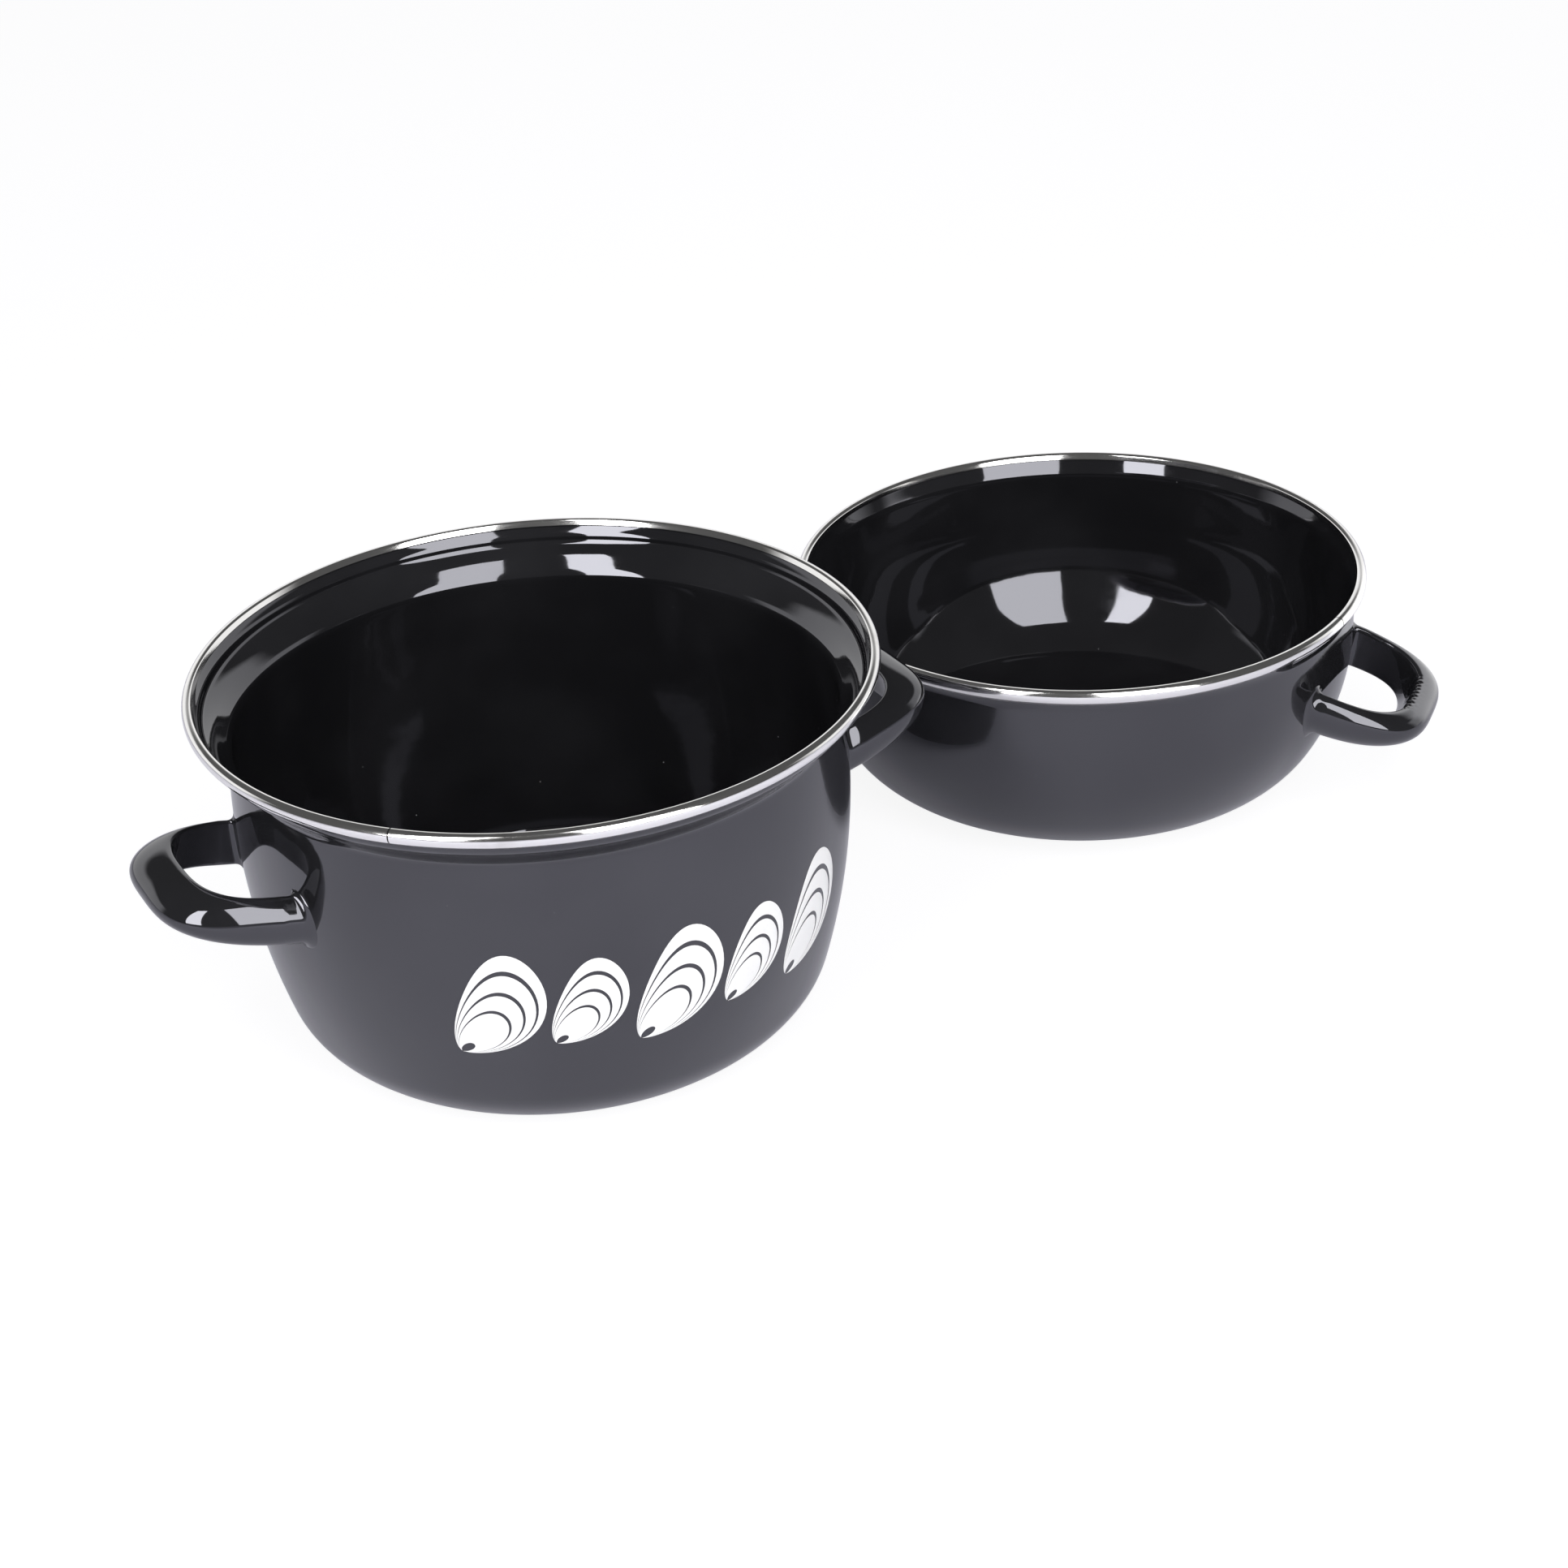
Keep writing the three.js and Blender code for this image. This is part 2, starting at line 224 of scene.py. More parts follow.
class Value:
    # a socket that takes part in sums; a Value without a socket starts a tree
    def __init__(self, tree, socket=None):
        self.tree = tree
        self.socket = socket

    def node(self, kind, settings=None, inputs=None, output=0):
        made = self.tree.nodes.new("ShaderNode" + kind)
        for name, setting in (settings or {}).items():
            setattr(made, name, setting)
        for name, value in (inputs or {}).items():
            if isinstance(value, Value):
                value.feed(made.inputs[name])
            else:
                made.inputs[name].default_value = value
        return Value(self.tree, made.outputs[output])

    def feed(self, socket):
        self.tree.links.new(self.socket, socket)

    def math(self, operation, first, second=0.0):
        return self.node("Math", {"operation": operation}, {0: first, 1: second})

    def __add__(self, other):
        return self.math("ADD", self, other)

    def __radd__(self, other):
        return self.math("ADD", other, self)

    def __sub__(self, other):
        return self.math("SUBTRACT", self, other)

    def __rsub__(self, other):
        return self.math("SUBTRACT", other, self)

    def __mul__(self, other):
        return self.math("MULTIPLY", self, other)

    def __rmul__(self, other):
        return self.math("MULTIPLY", other, self)

    def __lt__(self, other):
        return self.math("LESS_THAN", self, other)

    def __gt__(self, other):
        return self.math("GREATER_THAN", self, other)

    def between(self, low, high, toLow=0.0, toHigh=1.0):
        # a smooth step from toLow to toHigh
        return self.node("MapRange", {"interpolation_type": "SMOOTHSTEP"},
                         {"Value": self, "From Min": low, "From Max": high,
                          "To Min": toLow, "To Max": toHigh})

    def colours(self, first, second):
        return self.node("Mix", {"data_type": "RGBA"}, {0: self, 6: first, 7: second}, 2)

    def noise(self, vector, scale, detail, roughness=0.5):
        return self.node("TexNoise", None, {"Vector": vector, "Scale": scale, "Detail": detail,
                                            "Roughness": roughness}, "Fac")

    def place(self, kind):
        return self.node("TexCoord", None, None, kind)

    def ray(self, kind):
        return self.node("LightPath", None, None, kind)

    def part(self, axis):
        return self.node("SeparateXYZ", None, {0: self}, axis)

    def bump(self):
        # a relief given in metres
        return self.node("Bump", None, {"Height": self, "Strength": 1.0, "Distance": 1.0})


def newMaterial(name, constants):
    # a material, its tree and its Principled shader's sockets, the constant ones set
    material = bpy.data.materials.new(name)
    material.use_nodes = True
    sockets = material.node_tree.nodes["Principled BSDF"].inputs
    for socket, value in constants.items():
        sockets[socket].default_value = value
    return material, Value(material.node_tree), sockets


enamelLook = {
    "ior": 1.74,
    "tint": (0.97, 0.97, 1.06, 1),
    "black": (0.0075, 0.0075, 0.0085, 1),
    "greyer": (0.0125, 0.0125, 0.0140, 1),  # where the coat is thinner
    "cloudsPerMetre": 22,
    "cloudRange": (0.35, 0.7),  # of the noise, from black to greyer
    "dust": (0.32, 0.32, 0.33, 1),
    "dustCell": 0.011,  # metres between the places where a speck may lie
    "dustSize": 0.00022,
    "dustFree": 0.45,  # share of those places without a speck
    "dustCover": 0.7,
    "dustRough": 0.3,
    "sagSize": 0.03,  # slow waves of the drawn sheet
    "sagHeight": 0.0001,
    "rippleSize": 0.006,  # waves of the fired coat
    "rippleHeight": 0.0000135,
    "peelSize": 0.0011,  # fine orange peel
    "peelHeight": 0.0000006,
    "gloss": 0.045,
    "smear": 0.07,  # added roughness where the surface was wiped
    "smearsPerMetre": 60,
    "smearRange": (0.52, 0.78),
}


def blackEnamel(look):
    constants = {"IOR": look["ior"], "Specular Tint": look["tint"]}
    material, tree, sockets = newMaterial("black enamel", constants)
    place = tree.place("Object")
    cloud = tree.noise(place, look["cloudsPerMetre"], detail=3)
    smear = tree.noise(place, look["smearsPerMetre"], detail=4, roughness=0.6)
    smear = smear.between(*look["smearRange"])
    cells = {"Vector": place, "Scale": 1 / look["dustCell"]}
    speck = tree.node("TexVoronoi", None, cells, "Distance")
    chance = tree.node("SeparateColor", None, {0: tree.node("TexVoronoi", None, cells, "Color")}, 0)
    dust = (speck < chance * (look["dustSize"] / look["dustCell"])) * (chance > look["dustFree"])
    coat = cloud.between(*look["cloudRange"]).colours(look["black"], look["greyer"])
    sag = tree.noise(place, 1 / look["sagSize"], detail=0)
    ripple = tree.noise(place, 1 / look["rippleSize"], detail=1)
    peel = tree.noise(place, 1 / look["peelSize"], detail=2)
    relief = sag * look["sagHeight"] + ripple * look["rippleHeight"] + peel * look["peelHeight"]
    rough = look["gloss"] + smear * look["smear"] + dust * look["dustRough"]
    (dust * look["dustCover"]).colours(coat, look["dust"]).feed(sockets["Base Color"])
    rough.feed(sockets["Roughness"])
    relief.bump().feed(sockets["Normal"])
    return material


steelLook = {
    "colour": (0.86, 0.85, 0.84, 1),
    "stained": (0.52, 0.50, 0.48, 1),
    "stainsPerMetre": 38,
    "stainRange": (0.56, 0.74),
    "gloss": 0.07,
    "brushed": 0.06,  # added roughness in the streaks
    "streakRange": (0.3, 0.7),
    "streaksPerMetre": 780,  # across the band
    "streaksPerRadian": 1.6,  # along the band
    "scratchesPerMetre": 6000,
    "scratchesPerRadian": 9,
    "scratchHeight": 0.0000045,
}


def rolledSteel(look):
    material, tree, sockets = newMaterial("rolled steel", {"Metallic": 1.0})
    place = tree.place("Object")
    x, y, z = (place.part(axis) for axis in "XYZ")
    bearing = tree.math("ARCTAN2", y, x)
    distance = tree.math("SQRT", x * x + y * y)

    def grain(perRadian, perMetre, detail, roughness):
        # lines that run round the band
        spot = tree.node("CombineXYZ", None, {"X": bearing * perRadian, "Y": distance * perMetre,
                                              "Z": z * perMetre})
        return tree.noise(spot, 1.0, detail, roughness)

    streak = grain(look["streaksPerRadian"], look["streaksPerMetre"], detail=4, roughness=0.6)
    scratch = grain(look["scratchesPerRadian"], look["scratchesPerMetre"], detail=3, roughness=0.7)
    stain = tree.noise(place, look["stainsPerMetre"], detail=3, roughness=0.6)
    stain = stain.between(*look["stainRange"]) * streak
    rough = look["gloss"] + look["brushed"] * streak.between(*look["streakRange"])
    stain.colours(look["colour"], look["stained"]).feed(sockets["Base Color"])
    rough.feed(sockets["Roughness"])
    (scratch * look["scratchHeight"]).bump().feed(sockets["Normal"])
    return material


printLook = {
    "ior": 1.6,
    "white": (0.76, 0.76, 0.75, 1),
    "worn": (0.62, 0.62, 0.62, 1),
    "wearCover": 0.6,
    "wearPerMetre": 900,
    "wearRange": (0.55, 0.8),
    "wearHeight": 0.000006,
    "gloss": 0.16,
    "wornRough": 0.2,  # added where worn
}


def whiteEnamel(look):
    material, tree, sockets = newMaterial("white enamel", {"IOR": look["ior"]})
    wear = tree.noise(tree.place("Object"), look["wearPerMetre"], detail=4, roughness=0.7)
    wear = wear.between(*look["wearRange"])
    (wear * look["wearCover"]).colours(look["white"], look["worn"]).feed(sockets["Base Color"])
    (look["gloss"] + wear * look["wornRough"]).feed(sockets["Roughness"])
    (wear * look["wearHeight"]).bump().feed(sockets["Normal"])
    return material


enamel = blackEnamel(enamelLook)
steel = rolledSteel(steelLook)
print("materials ready")


# pot
pot = {
    "height": 109.5,  # base to the crown of the rim band
    "wall": {"radius": 90.05, "height": 71, "arc": 205, "corner": 19.5, "waist": 4, "flare": 42},
    "insideCorner": 16.5,  # tighter than the outside: the drawn sheet is thinner round the foot
    "shoulder": 16,
    "seatLean": 56,
    "cove": 3,
    "neckStep": 6.6,
    "neckHeight": 5.5,
    "neckBend": 2,
    "lipLean": 42,
    "rimLean": 20,
    "seam": -137,
}
neckRadius = pot["wall"]["radius"] - halfSheet + pot["neckStep"]

band = {
    "thickness": 0.5,
    "outerLeg": 4,
    "innerLeg": 1.8,
    "bulge": 0.6,  # the outer leg is rolled round
    "fullest": 1.6,  # below the sheet's edge
    "seamWidth": 0.4,
    "edgeRound": 0.22,
    "legSteps": 8,
    "crownSteps": 10,  # on each side
}
bandHalf = halfSheet + sheet["fitGap"] + band["thickness"]
bandCrown = sheet["fitGap"] + band["thickness"]


def potLine(corner):
    wall = {**pot["wall"], "corner": corner}
    seat = bends((0, 0), wall["flare"], (pot["shoulder"], pot["seatLean"], runSteps["shoulder"]),
                 (pot["cove"], 0, runSteps["cove"]))
    seat = movedTo(seat, (neckRadius, pot["height"] - pot["neckHeight"]))
    foot = bend(seat[-1], pot["neckBend"], 0, pot["lipLean"], runSteps["neck"])
    rise = pot["height"] - bandCrown - foot[-1][1]
    lean, last = math.radians(pot["lipLean"]), math.radians(pot["rimLean"])
    lip = bend(foot[-1], rise / (math.sin(lean) - math.sin(last)), pot["lipLean"], pot["rimLean"],
               runSteps["lip"])
    return drawnLine(wall, bulgedWall, seat + foot + lip)


def sheetShape(line, inside):
    return revolve(aside(line, halfSheet) + aside(inside, -halfSheet)[::-1], sheet["segments"])


def besideEdge(line, below, out):
    # a place so far below the sheet's edge, along the sheet, and so far out from its middle
    last = len(line) - 1
    step = lambda k: math.dist(line[k][:2], line[k - 1][:2])
    while below > step(last) and last > 1:
        below -= step(last)
        last -= 1
    share = below / step(last)
    r, z, lean = (line[last][k] + (line[last - 1][k] - line[last][k]) * share for k in range(3))
    return r + out * math.cos(math.radians(lean)), z - out * math.sin(math.radians(lean))


def bandShape(line, seam):
    # a channel folded over the sheet's edge, open at its butt seam
    inside = halfSheet + sheet["fitGap"]
    soft, steps = band["edgeRound"], band["legSteps"]
    quarter = [math.pi / 2 * k / band["crownSteps"] for k in range(band["crownSteps"] + 1)]
    under, out = band["outerLeg"] - band["fullest"], bandHalf + band["bulge"]
    outer = [(band["outerLeg"] - soft - (under - soft) * k / steps,
              bandHalf + band["bulge"] * math.sin(math.pi / 2 * k / steps)) for k in range(steps)]
    crown = [(band["fullest"] - (band["fullest"] + bandCrown) * math.sin(t), out * math.cos(t))
             for t in quarter]
    crown += [(-bandCrown * math.cos(t), -bandHalf * math.sin(t)) for t in quarter[1:]]
    section = [(band["outerLeg"], bandHalf - soft), *outer, *crown,
               (band["innerLeg"] - soft, -bandHalf), (band["innerLeg"], -bandHalf + soft),
               (band["innerLeg"], -inside), (-sheet["fitGap"], -inside), (-sheet["fitGap"], inside),
               *[(band["outerLeg"] * k / steps, inside) for k in range(1, steps)],
               (band["outerLeg"], inside)]
    profile = [besideEdge(line, below, out) for below, out in section]
    gap = band["seamWidth"] / line[-1][0]
    rings = []
    for k in range(sheet["segments"] + 1):
        t = math.radians(seam) + gap / 2 + (2 * math.pi - gap) * k / sheet["segments"]
        rings.append([(r * math.cos(t), r * math.sin(t), z) for r, z in profile])
    return loft(rings[::-1])


# loop handles: a flat inside, a rounded outside, and feet that are welded to the wall
loop = {
    "width": 60,
    "endWidth": 53,
    "reach": 34.8,
    "leg": 3.4,  # straight, before the superellipse of the loop's end
    "power": 3.26,
    "gripDepth": 11.2,
    "gapLeg": 4.5,
    "gapPower": 2.8,
    "legThickness": 5.5,
    "legHeight": 14.7,
    "gripHeight": 12.8,
    "crownDrop": 1.4,  # the outside is fullest below the middle plane
    "edgeRound": 1.3,
    "roundDepth": 7.2,  # depth and half height of the section for which the edge round is drawn
    "roundHeight": 6.8,
    "fillet": 2.2,  # enamelled weld round each foot
    "sink": 0.3,  # the foot reaches this far into the sheet
    "footShares": (0, 0.05, 0.09, 0.14, 0.2, 0.27, 0.36, 0.48, 0.64, 0.82),  # of the way to the leg
    "drawRun": 34,  # distances from the loop's middle: the sheet is drawn back up to here
    "drawFade": 22,  # over the last of it
    "drawFrom": 0.5,  # share of the half height where the drawing back starts
    "wrinkleRun": 14,
    "wrinkleFade": 4,
    "wrinkleFrom": 0.3,
    "wrinkleDepth": 0.4,  # share of the section's depth
    "wrinkleStep": 2.5,
    "wrinkleMix": (0.7, 0.62, 1),  # a second wave's share, pace and start
    "stations": 90,
    "arcSteps": 32,
    "edgeSteps": 6,
    "flatSteps": 3,  # in each half
    "fineSteps": 1000,  # for measuring along the loop
    "searchRun": (-25.0, 15.0),  # the wall lies between these places along a leg
    "searchHalvings": 40,
}


def dSection():
    # unit outline: 0 to 1 from the flat inside to the crown of the outside, -1 to 1 in height
    softDepth = loop["edgeRound"] / loop["roundDepth"]
    softHeight = loop["edgeRound"] / loop["roundHeight"]
    arc = []
    for k in range(loop["arcSteps"] + 1):
        turn = math.pi * (0.5 - k / loop["arcSteps"])
        arc.append((max(math.cos(turn), 0), math.sin(turn)))
    arc = [p for p in arc if p[0] > softDepth]
    corner = []
    for k in range(loop["edgeSteps"]):
        t = k / loop["edgeSteps"]
        corner.append((t * t * arc[0][0],
                       (1 - softHeight) * (1 - t) ** 2 + 2 * t * (1 - t) + t * t * arc[0][1]))
    steps = loop["flatSteps"]
    flat = [(0, (1 - softHeight) * k / steps) for k in range(1 - steps, steps)]
    return flat + corner + arc + [(p, -q) for p, q in corner[::-1]]


def loopPath(width, reach, leg, power, turn):
    # one half of the loop's end, from the leg to the middle, narrowing outwards
    x = leg + (reach - leg) * math.sin(turn) ** (2 / power)
    y = width / 2 * max(math.cos(turn), 0) ** (2 / power)
    return Vector((x, y * (1 - (1 - loop["endWidth"] / loop["width"]) * x / loop["reach"])))


def loopStations(steps):
    # places on the gap's side and on the outside at even steps, with their distance from the middle
    gapWidth, gapReach = loop["width"] - 2 * loop["legThickness"], loop["reach"] - loop["gripDepth"]
    fine = []
    for k in range(loop["fineSteps"] + 1):
        turn = math.pi / 2 * k / loop["fineSteps"]
        fine.append((loopPath(gapWidth, gapReach, loop["gapLeg"], loop["gapPower"], turn),
                     loopPath(loop["width"], loop["reach"], loop["leg"], loop["power"], turn)))
    fine[-1][0].y = fine[-1][1].y = 0
    runs = [0]
    for (g, o), (gNext, oNext) in zip(fine, fine[1:]):
        runs.append(runs[-1] + ((gNext - g).length + (oNext - o).length) / 2)
    stations = []
    for k in range(steps + 1):
        nearest = min(range(len(runs)), key=lambda i: abs(runs[i] - runs[-1] * k / steps))
        stations.append((*fine[nearest], runs[-1] - runs[nearest]))
    return stations


def loopSections(wall, datum, handles):
    # sections from one foot round to the other, in the vessel's frame with the handle along +X
    tilt = math.radians(handles["tilt"])
    side = -1 if handles["turnedOver"] else 1
    place = lambda x, y, z: (datum + x * math.cos(tilt) - z * math.sin(tilt), side * y,
                             handles["height"] + side * (x * math.sin(tilt) + z * math.cos(tilt)))

    def wallDepth(y, z):
        # how far along the leg the wall's outside lies
        low, high = loop["searchRun"]
        for _ in range(loop["searchHalvings"]):
            middle = (low + high) / 2
            px, py, pz = place(middle, y, z)
            if math.hypot(px, py) > wallRadius(wall, pz):
                high = middle
            else:
                low = middle
        return low

    def foot(ring, share):
        # the leg's section drawn out to the wall, with the weld's fillet round it
        weld, placed = loop["fillet"], []
        for j, (x, y, z) in enumerate(ring):
            before, after = ring[j - 1], ring[(j + 1) % len(ring)]
            dy, dz = after[1] - before[1], after[2] - before[2]
            away = share * (x - wallDepth(y, z) + loop["sink"]) - loop["sink"]
            swell = weld - math.sqrt(weld ** 2 - (weld - min(max(away, 0), weld)) ** 2)
            y -= dz / math.hypot(dy, dz) * swell
            z += dy / math.hypot(dy, dz) * swell
            start = wallDepth(y, z) - loop["sink"]
            placed.append((start + share * (x - start), y, z))
        return placed

    def section(gap, outside, fromMiddle):
        tall = loop["legHeight"] + (loop["gripHeight"] - loop["legHeight"]) * outside.x / loop["reach"]
        fade = clamp((loop["wrinkleRun"] - fromMiddle) / loop["wrinkleFade"])
        phase = 2 * math.pi * fromMiddle / loop["wrinkleStep"]
        second, pace, start = loop["wrinkleMix"]
        wave = (math.cos(phase) + second * math.cos(pace * phase + start)) / (1 + second)
        wave *= handles["wrinkle"] * fade
        draw = handles["draw"] * clamp((loop["drawRun"] - fromMiddle) / loop["drawFade"])
        ring = []
        for p, q in dSection():
            # the sheet is drawn back and wrinkled along one edge of the gap, the upper one on the lid
            drawn = (1 - p) * clamp((loop["drawFrom"] - q) / (1 + loop["drawFrom"]))
            edge = max(0, -q - loop["wrinkleFrom"]) / (1 - loop["wrinkleFrom"])
            edge *= max(0, 1 - p / loop["wrinkleDepth"])
            x, y = gap.lerp(outside, p + (draw * drawn + wave * edge) / loop["gripDepth"])
            ring.append((x, y, tall / 2 * q - loop["crownDrop"] * p))
        return ring

    stations = loopStations(loop["stations"])
    leg = section(*stations[0])
    half = [foot(leg, share) for share in loop["footShares"]]
    half += [section(*station) for station in stations]
    # the other half is the mirror image, with its sections in the same turning order
    rings = half + [[(x, -y, z) for x, y, z in ring] for ring in half[-2::-1]]
    return [[place(*p) for p in ring] for ring in rings]


def handleShape(wall, handles, bearing):
    datum = wallRadius(wall, handles["height"]) - handles["inset"]
    turn = Matrix.Rotation(math.radians(bearing), 3, "Z")
    rings = loopSections(wall, datum, handles)
    return loft([[turn @ Vector(p) for p in ring] for ring in rings[::-1]])


def makeVessel(prefix, bowl, shape, line, inside, handles, turn, place):
    makePiece(f"{prefix}_{bowl}_enamel", sheetShape(line, inside), place, prefix, enamel,
              f"{prefix}_{bowl}")
    makePiece(f"{prefix}_band_steel", bandShape(line, shape["seam"] + turn), place, prefix,
              steel, f"{prefix}_rim_band", sharp=creaseAngle)
    for side, bearing in (("right", turn), ("left", turn + 180)):
        makePiece(f"{prefix}_loop_{side}", handleShape(shape["wall"], handles, bearing), place,
                  prefix, enamel, f"{prefix}_handle_{side}")
    print(prefix, "made")


potHandles = {
    "height": 65.8,  # of the start of the loop's middle plane
    "inset": 1.3,  # how far that start lies inside the wall's face
    "tilt": 14,
    "turnedOver": False,
    "draw": 0,
    "wrinkle": 0,
}
makeVessel("pot", "body", pot, potLine(pot["wall"]["corner"]), potLine(pot["insideCorner"]), potHandles,
           0, Matrix())


# a row of mussel shells printed on the front of the pot in white enamel
shells = {
    "bearing": -93,
    "height": 49.5,
    "lengths": (38, 31, 38, 31, 38),
    "spacing": 26,
    "lean": 30,
    "slim": 3.4,
    "bow": 0.42,  # bend of the beak
    "ribs": ((1.0, 0.875), (0.835, 0.69), (0.655, 0.51), (0.48, 0.12)),  # shares of the shell's length
    "open": 0.74,  # share of the half turn about the beak that the ribs take
    "raised": 0.09,
    "sink": 0.06,
    "edge": 0.1,  # share of a rib's width over which it rises from half to its full height
    "halfSteps": 30,
}


def shellPrint():
    verts, faces = [], []
    lean = math.radians(90 - shells["lean"])

    def onWall(along, up, lift):
        height = shells["height"] + up
        bearing = math.radians(shells["bearing"]) + along / pot["wall"]["radius"]
        radius = wallRadius(pot["wall"], height) + lift
        return radius * math.cos(bearing), radius * math.sin(bearing), height

    def inShell(turn, scale, length, middle, lift):
        reach = math.cos(turn) ** shells["slim"] * scale
        x, y = reach * math.cos(turn), reach * math.sin(turn)
        y += shells["bow"] * x * (1 - x)
        x, y = (x - 0.5) * length, -y * length
        return onWall(middle + x * math.cos(lean) - y * math.sin(lean),
                      x * math.sin(lean) + y * math.cos(lean), lift)

    raised, edge = shells["raised"], shells["edge"]
    section = [(0, -shells["sink"]), (0, raised / 2), (edge, raised), (0.5, raised),
               (1 - edge, raised), (1, raised / 2), (1, -shells["sink"])]
    for k, length in enumerate(shells["lengths"]):
        middle = (k - (len(shells["lengths"]) - 1) / 2) * shells["spacing"]
        for outer, inner in shells["ribs"]:
            rings = []
            for step in range(2 * shells["halfSteps"] + 1):
                turn = math.pi / 2 * shells["open"] * (step / shells["halfSteps"] - 1)
                rings.append([inShell(turn, outer + (inner - outer) * t, length, middle, lift)
                              for t, lift in section])
            ribVerts, ribFaces = loft(rings)
            faces += [tuple(i + len(verts) for i in face) for face in ribFaces]
            verts += ribVerts
    return verts, faces


makePiece("pot_shell_print", shellPrint(), Matrix(), "pot", whiteEnamel(printLook),
          sharp=creaseAngle)
print("shells printed")


# lid, standing base-down beside the pot
lid = {
    "height": 69.5,
    "play": 2.35,  # between the lid's band and the pot's neck
    "lipStep": 2.25,
    "wall": {"height": 48.5, "arc": 68, "corner": 29.5, "waist": 8, "flare": 21},
    "lipBend": 10,
    "rimLean": 8,
    "seam": -10.2,
    "turn": -51.1,
}
lidRim = (neckRadius - halfSheet - lid["play"] - bandHalf, lid["height"] - bandCrown)
lid["wall"]["radius"] = lidRim[0] - lid["lipStep"] + halfSheet

lidHandles = {
    "height": 39.5,
    "inset": 4.4,
    "tilt": 16.2,
    "turnedOver": True,
    "draw": 3.2,  # how far the sheet is drawn back along the gap's upper edge
    "wrinkle": 0.75,
}


def lidLine():
    lip = bends((0, 0), lid["wall"]["flare"], (lid["lipBend"], lid["rimLean"], runSteps["lip"]))
    return drawnLine(lid["wall"], uprightWall, movedTo(lip, lidRim))


def lidPlace():
    low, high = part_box("lid_bowl")
    return Matrix.Translation(((low.x + high.x) / 2, (low.y + high.y) / 2, 0))


lidSheet = lidLine()
makeVessel("lid", "bowl", lid, lidSheet, lidSheet, lidHandles, lid["turn"], lidPlace())


# stage, with lengths in metres
studio = {
    "floorSize": 6,  # to each side
    "floorColour": (0.83, 0.825, 0.90, 1),
    "floorWhite": (1.12, 1.12, 1.12, 1),
    "floorGlow": 0.8,  # share of the floor that the camera sees as plain white
    "floorSheen": 0.15,  # the same for polished surfaces
    "floorTint": (0.9, 0.89, 1.02, 1),
    "coveSides": (-0.1, 0.2),  # polished surfaces see a white cove behind: from none to full, as a cosine
    "coveTop": (0.38, 0.49),  # from full to none, as the sine of the angle of height
    "ceiling": 0.09,  # what they see elsewhere
    "fill": 0.32,
    "secondMirroring": (1.2, 1.8),  # ray depths between the first mirroring and the second
}

view = {
    "potCentre": (-0.054858, 0.754654),  # from the camera's foot, to its right and away from it
    "handleBearing": 26.58,  # the pot's right-hand handle, turned from the camera's right
    "height": 0.48896,
    "pitch": 29.31,
    "roll": 3.53,
    "lens": 67.57,
    "sensor": 36,
    "shift": (0.03395, -0.00078),
}


def fromCamera(x, y, z):
    # a place given from the camera's foot, x to its right and y away from it, in the object's frame
    turn = Matrix.Rotation(math.radians(-view["handleBearing"]), 2)
    flat = turn @ (Vector((x, y)) - Vector(view["potCentre"]))
    return Vector((flat.x, flat.y, z))


def makeFloor():
    material, tree = newMaterial("studio floor", {})[:2]
    nodes = material.node_tree.nodes
    nodes.remove(nodes["Principled BSDF"])
    matt = tree.node("BsdfDiffuse", None, {"Color": studio["floorColour"]})
    tone = tree.ray("Is Camera Ray").colours(studio["floorTint"], studio["floorWhite"])
    glow = tree.node("Emission", None, {"Color": tone, "Strength": 1.0})
    mirrored = tree.ray("Is Glossy Ray") + tree.ray("Is Transmission Ray")
    share = tree.ray("Is Camera Ray") * studio["floorGlow"] + mirrored * studio["floorSheen"]
    mixed = tree.node("MixShader", None, {0: share, 1: matt, 2: glow})
    mixed.feed(nodes["Material Output"].inputs["Surface"])
    mesh = bpy.data.meshes.new("floor")
    size = studio["floorSize"]
    mesh.from_pydata([(-size, -size, 0), (size, -size, 0), (size, size, 0), (-size, size, 0)], [],
                     [(0, 1, 2, 3)])
    mesh.materials.append(material)
    floor = addToScene("floor", mesh)
    floor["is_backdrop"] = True


def makeWorld():
    world = bpy.data.worlds.new("studio")
    world.use_nodes = True
    bpy.context.scene.world = world
    tree = Value(world.node_tree)
    background = world.node_tree.nodes["Background"]
    direction = tree.place("Generated")
    turn = math.radians(view["handleBearing"])
    ahead = tree.node("VectorMath", {"operation": "DOT_PRODUCT"},
                      {0: direction, 1: (math.sin(turn), math.cos(turn), 0)}, "Value")
    cove = ahead.between(*studio["coveSides"]) * direction.part("Z").between(*studio["coveTop"], 1.0, 0.0)
    room = tree.math("MAXIMUM", cove, studio["ceiling"])
    mirrored = tree.ray("Is Glossy Ray") + tree.ray("Is Transmission Ray")
    level = tree.ray("Is Camera Ray") + mirrored * room + tree.ray("Is Diffuse Ray") * studio["fill"]
    level.feed(background.inputs["Strength"])
    background.inputs["Color"].default_value = white


# places in mm from the camera's foot, x to its right and y away from it
softboxes = {
    "right of the camera": {"left": (133, 24), "right": (649, 131), "low": 90, "high": 1750,
                            "watts": 13.5, "sheen": 6, "fade": 0.01, "again": 0.2},
    "left of the camera": {"left": (-628, 145), "right": (-320, 44), "low": 130, "high": 1800,
                           "watts": 9.8, "sheen": 9.5, "fade": 0.01, "again": 0.2},
}
lidCard = {"left": (240, 929), "right": (324, 845), "low": 0, "high": 112,
           "sheen": 1.8, "fade": 0.3, "again": 1.0}


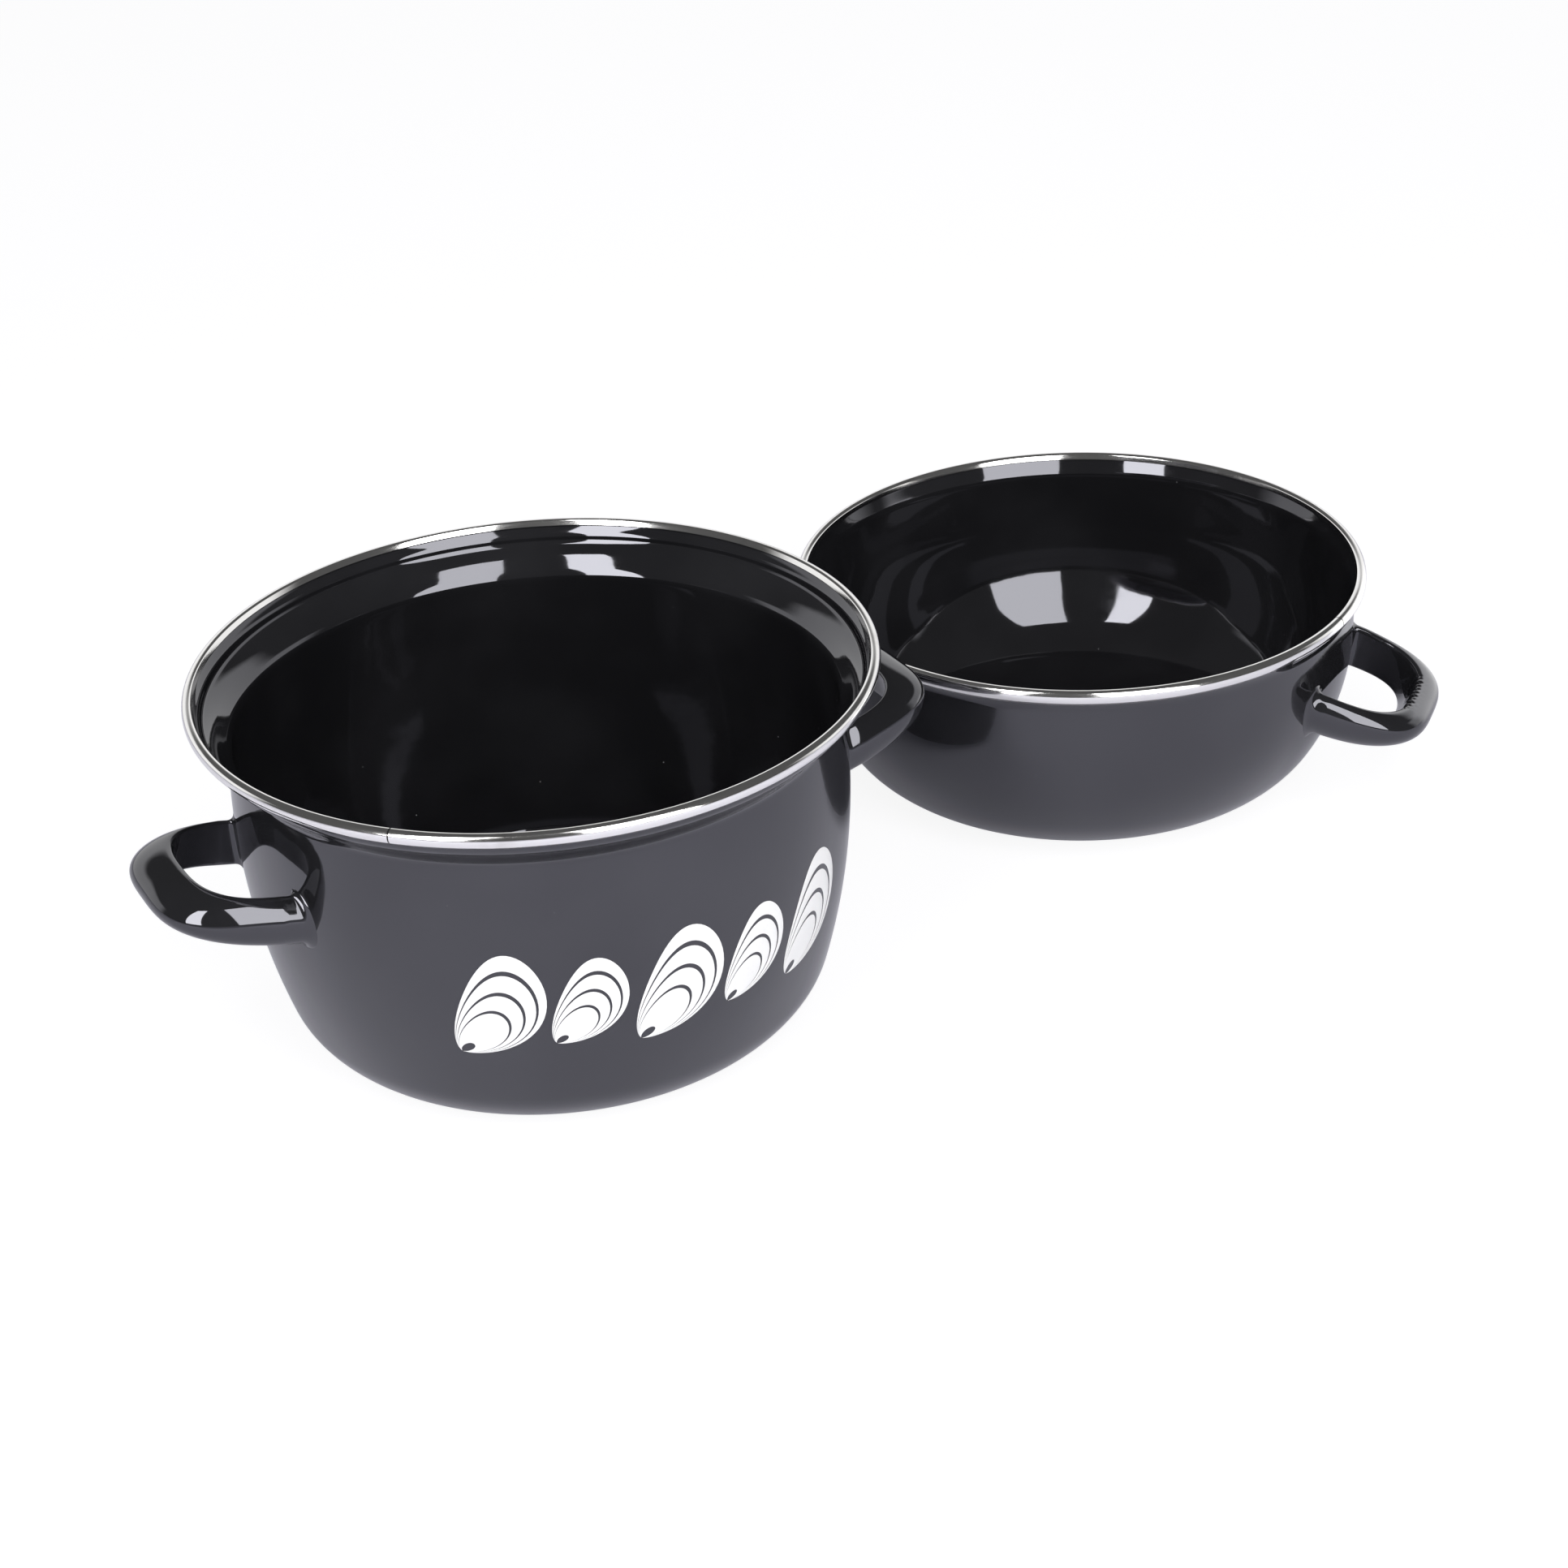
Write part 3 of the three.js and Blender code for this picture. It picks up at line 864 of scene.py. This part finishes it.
def cardCorners(box):
    left, right = (fromCamera(x * mm, y * mm, 0) for x, y in (box["left"], box["right"]))
    low, high = (Vector((0, 0, box[end] * mm)) for end in ("low", "high"))
    return left + low, right + low, right + high, left + high


def makeCard(name, box):
    # a bright card that only polished surfaces see, fading towards its rim, fainter at a second mirroring
    material, tree, sockets = newMaterial(name, {"Base Color": black, "Emission Strength": box["sheen"]})
    spot = tree.place("UV")
    fromMiddle = lambda axis: tree.math("ABSOLUTE", spot.part(axis) - 0.5)
    inside = lambda axis: fromMiddle(axis).between(0.5 - box["fade"], 0.5, 1.0, 0.0)
    again = tree.ray("Ray Depth").between(*studio["secondMirroring"], 1.0, box["again"])
    (inside("X") * inside("Y")).feed(sockets["Alpha"])
    again.colours(black, white).feed(sockets["Emission Color"])
    mesh = bpy.data.meshes.new(name)
    mesh.from_pydata(cardCorners(box), [], [(0, 1, 2, 3)])
    square = mesh.uv_layers.new()
    for k, uv in enumerate(((0, 0), (1, 0), (1, 1), (0, 1))):
        square.data[k].uv = uv
    mesh.materials.append(material)
    card = addToScene(name, mesh)
    card.visible_camera = card.visible_diffuse = card.visible_shadow = False
    card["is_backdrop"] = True


def makeSoftbox(name, box):
    # a lamp that matt surfaces see, with a card in the same place
    lowLeft, lowRight, highRight, highLeft = cardCorners(box)
    across, up = (lowRight - lowLeft).normalized(), Vector((0, 0, 1))
    lamp = bpy.data.lights.new(name, "AREA")
    lamp.shape = "RECTANGLE"
    lamp.size = (lowRight - lowLeft).length
    lamp.size_y = (highLeft - lowLeft).length
    lamp.energy = box["watts"]
    holder = addToScene(name, lamp)
    facing = Matrix((across, up, across.cross(up))).transposed()  # a lamp shines along its own -Z
    holder.matrix_world = Matrix.Translation((lowLeft + highRight) / 2) @ facing.to_4x4()
    holder.visible_glossy = False
    makeCard(name + " card", box)


def makeCamera():
    camera = addToScene("camera", bpy.data.cameras.new("camera"))
    camera.data.sensor_width = view["sensor"]
    camera.data.lens = view["lens"]
    camera.data.shift_x, camera.data.shift_y = view["shift"]
    upright = Matrix.Rotation(math.radians(-view["handleBearing"]), 4, "Z")
    upright = upright @ Matrix.Rotation(math.radians(90 - view["pitch"]), 4, "X")
    upright = upright @ Matrix.Rotation(math.radians(-view["roll"]), 4, "Z")
    camera.matrix_world = Matrix.Translation(fromCamera(0, 0, view["height"])) @ upright
    bpy.context.scene.camera = camera


makeFloor()
makeWorld()
for name, box in softboxes.items():
    makeSoftbox(name, box)
makeCard("card by the lid", lidCard)
makeCamera()
bpy.context.scene.view_settings.view_transform = "Standard"
print("stage set")

plain = lambda corners: [[round(float(v), 6) for v in corner] for corner in corners]
{"cad": plain(cadBox), "visual": plain(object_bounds())}
